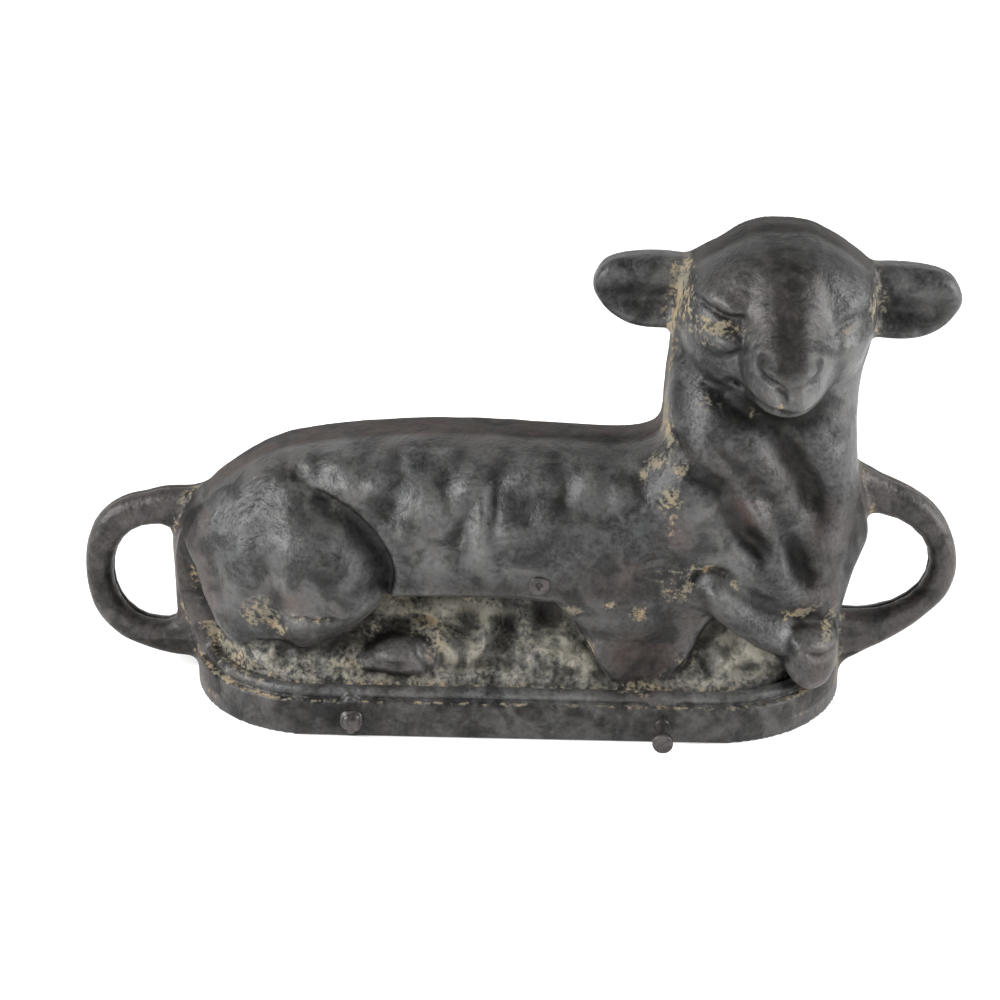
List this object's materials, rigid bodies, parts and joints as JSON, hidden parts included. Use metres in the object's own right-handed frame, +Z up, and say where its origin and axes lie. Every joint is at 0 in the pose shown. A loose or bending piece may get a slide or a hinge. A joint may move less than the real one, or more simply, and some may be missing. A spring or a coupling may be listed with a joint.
{
  "type": "lamb cake mould",
  "caption": "Cast-iron two-piece baking mould shaped as a lying lamb with its head turned, hollow inside, with loop handles at both ends.",
  "frame": {"origin": "on the surface the mould stands on, under the middle of its overall box", "axes": "+X towards the lamb's head end, -Y towards the side the lamb's face looks to, +Z up"},
  "size_m": [0.333, 0.129, 0.185],
  "materials": {
    "front_iron": "seasoned dark grey iron with a satin sheen and pale deposits in the hollows",
    "rear_iron": "seasoned dark grey iron, a little browner",
    "foot_iron": "worn brownish iron with rubbed ends",
    "pin_steel": "darkened steel"
  },
  "bodies": {
    "front": {"front_half": "front_iron", "right_foot_pin": "foot_iron", "left_foot_stub": "foot_iron", "belly_foot_root": "foot_iron"},
    "rear": {"rear_half": "rear_iron", "tail_locating_pin": "pin_steel", "chest_locating_pin": "pin_steel"}
  },
  "joints": [
    {"name": "rear_half_draw", "type": "slide", "parent": "front", "child": "rear", "axis": [0, 1, 0], "range_m": [0, 0.12]}
  ]
}
